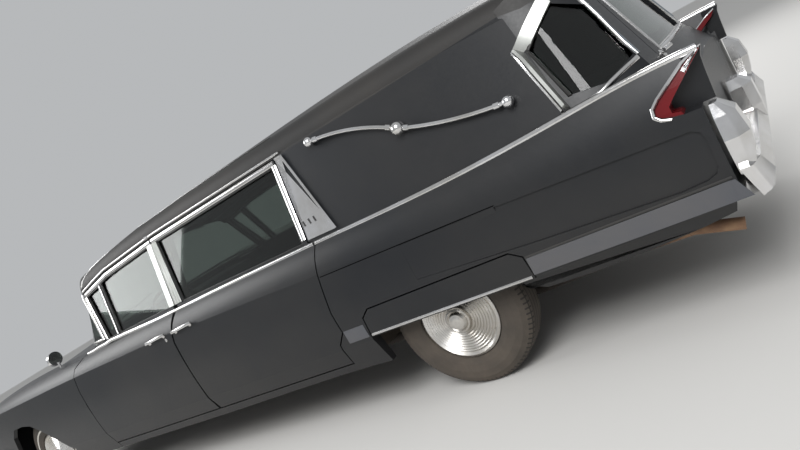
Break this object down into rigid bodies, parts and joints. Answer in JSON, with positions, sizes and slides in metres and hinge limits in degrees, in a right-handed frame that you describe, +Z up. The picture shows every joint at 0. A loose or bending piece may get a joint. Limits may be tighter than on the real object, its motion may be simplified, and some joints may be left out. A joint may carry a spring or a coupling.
{
  "type": "hearse",
  "caption": "Long landau-style hearse with tail fins, side-opening rear door, rear-hinged rear doors, wheel skirts and a flat load deck.",
  "frame": {"origin": "on the ground under the middle of the car, at the bottom centre of its bounding box", "axes": "+X forward along the car, +Y to the driver's left, +Z up"},
  "size_m": [6.338, 1.9906, 1.6441],
  "materials": {
    "body_paint": "flat charcoal black, dusty",
    "roof_paint": "flat black, faded towards brown",
    "tinted_glass": "green-tinted safety glass",
    "lamp_glass": "clear pressed lamp glass",
    "red_lens": "red moulded lens",
    "chrome": "worn chrome and stainless trim",
    "tyre_rubber": "dusty black rubber with a thin pale band",
    "chassis_black": "satin black, dusty",
    "cast_metal": "bare and greasy",
    "rusty_pipe": "rusty steel tube",
    "deck_wood": "varnished boards",
    "lining": "dark grained trim",
    "wheel_plastic": "hard black rim",
    "seat_leather": "worn dark upholstery"
  },
  "bodies": {
    "body": {"b_pillars": "lining", "body_sides": "body_paint", "bumper_front": "chrome", "bumper_rear": "chrome", "chassis_frame": "chassis_black", "cowl": "body_paint", "dashboard": "lining", "engine_block": "cast_metal", "exhaust": "rusty_pipe", "fender_mirror": "chrome", "fenders": "body_paint", "floor_pan": "chassis_black", "front_panel": "body_paint", "front_seat": "seat_leather", "front_suspension": "chassis_black", "fuel_tank": "chassis_black", "glass_quarter": "tinted_glass", "grille": "chrome", "headlamps": "lamp_glass", "inner_fenders": "chassis_black", "landau_bars": "chrome", "load_deck": "deck_wood", "radiator": "chassis_black", "rear_axle": "chassis_black", "rear_panel": "body_paint", "roof": "roof_paint", "skirts": "body_paint", "steering_column": "lining", "tail_lamps": "red_lens", "windshield": "tinted_glass"},
    "hood": {"hood": "body_paint"},
    "door_front_left": {"door_front_left": "body_paint", "glass_front_left": "tinted_glass"},
    "door_front_right": {"door_front_right": "body_paint", "glass_front_right": "tinted_glass"},
    "door_rear_left": {"door_rear_left": "body_paint", "glass_rear_left": "tinted_glass"},
    "door_rear_right": {"door_rear_right": "body_paint", "glass_rear_right": "tinted_glass"},
    "tail_door": {"tail_door": "body_paint", "glass_tail": "tinted_glass"},
    "knuckle_left": {"knuckle_left": "cast_metal"},
    "knuckle_right": {"knuckle_right": "cast_metal"},
    "wheel_front_left": {"tyre_front_left": "tyre_rubber", "wheel_front_left": "chrome"},
    "wheel_front_right": {"tyre_front_right": "tyre_rubber", "wheel_front_right": "chrome"},
    "wheel_rear_left": {"tyre_rear_left": "tyre_rubber", "wheel_rear_left": "chrome"},
    "wheel_rear_right": {"tyre_rear_right": "tyre_rubber", "wheel_rear_right": "chrome"},
    "steering_wheel": {"steering_wheel": "wheel_plastic"}
  },
  "joints": [
    {"name": "hood_hinge", "type": "hinge", "parent": "body", "child": "hood", "pos_m": [1.53, 0, 1.04], "axis": [0, -1, 0], "range_deg": [0, 50]},
    {"name": "door_front_left_hinge", "type": "hinge", "parent": "body", "child": "door_front_left", "pos_m": [1.275, 0.996, 0.65], "axis": [0, 0, -1], "range_deg": [0, 65]},
    {"name": "door_front_right_hinge", "type": "hinge", "parent": "body", "child": "door_front_right", "pos_m": [1.275, -0.996, 0.65], "axis": [0, 0, 1], "range_deg": [0, 65]},
    {"name": "door_rear_left_hinge", "type": "hinge", "parent": "body", "child": "door_rear_left", "pos_m": [-1.135, 0.996, 0.65], "axis": [0, 0, 1], "range_deg": [0, 70]},
    {"name": "door_rear_right_hinge", "type": "hinge", "parent": "body", "child": "door_rear_right", "pos_m": [-1.135, -0.996, 0.65], "axis": [0, 0, -1], "range_deg": [0, 70]},
    {"name": "tail_door_hinge", "type": "hinge", "parent": "body", "child": "tail_door", "pos_m": [-3.065, -0.63, 0.8], "axis": [0, 0, 1], "range_deg": [0, 100]},
    {"name": "steer_left", "type": "hinge", "parent": "body", "child": "knuckle_left", "pos_m": [2.252, 0.69, 0.355], "axis": [0, 0, 1], "range_deg": [-32, 32]},
    {"name": "steer_right", "type": "hinge", "parent": "body", "child": "knuckle_right", "pos_m": [2.252, -0.69, 0.355], "axis": [0, 0, 1], "range_deg": [-32, 32]},
    {"name": "steering_wheel_turn", "type": "hinge", "parent": "body", "child": "steering_wheel", "pos_m": [0.65, 0.37, 0.93], "axis": [-0.9135, 0, 0.4067], "range_deg": [-610, 610]},
    {"name": "wheel_front_left_spin", "type": "hinge", "parent": "knuckle_left", "child": "wheel_front_left", "pos_m": [2.252, 0.785, 0.355], "axis": [0, 1, 0], "continuous": true},
    {"name": "wheel_front_right_spin", "type": "hinge", "parent": "knuckle_right", "child": "wheel_front_right", "pos_m": [2.252, -0.785, 0.355], "axis": [0, 1, 0], "continuous": true},
    {"name": "wheel_rear_left_spin", "type": "hinge", "parent": "body", "child": "wheel_rear_left", "pos_m": [-1.71, 0.785, 0.355], "axis": [0, 1, 0], "continuous": true},
    {"name": "wheel_rear_right_spin", "type": "hinge", "parent": "body", "child": "wheel_rear_right", "pos_m": [-1.71, -0.785, 0.355], "axis": [0, 1, 0], "continuous": true}
  ],
  "couplings": [
    {"joint": "steer_right", "follows": "steer_left", "ratio": 1},
    {"joint": "steering_wheel_turn", "follows": "steer_left", "ratio": 19}
  ]
}
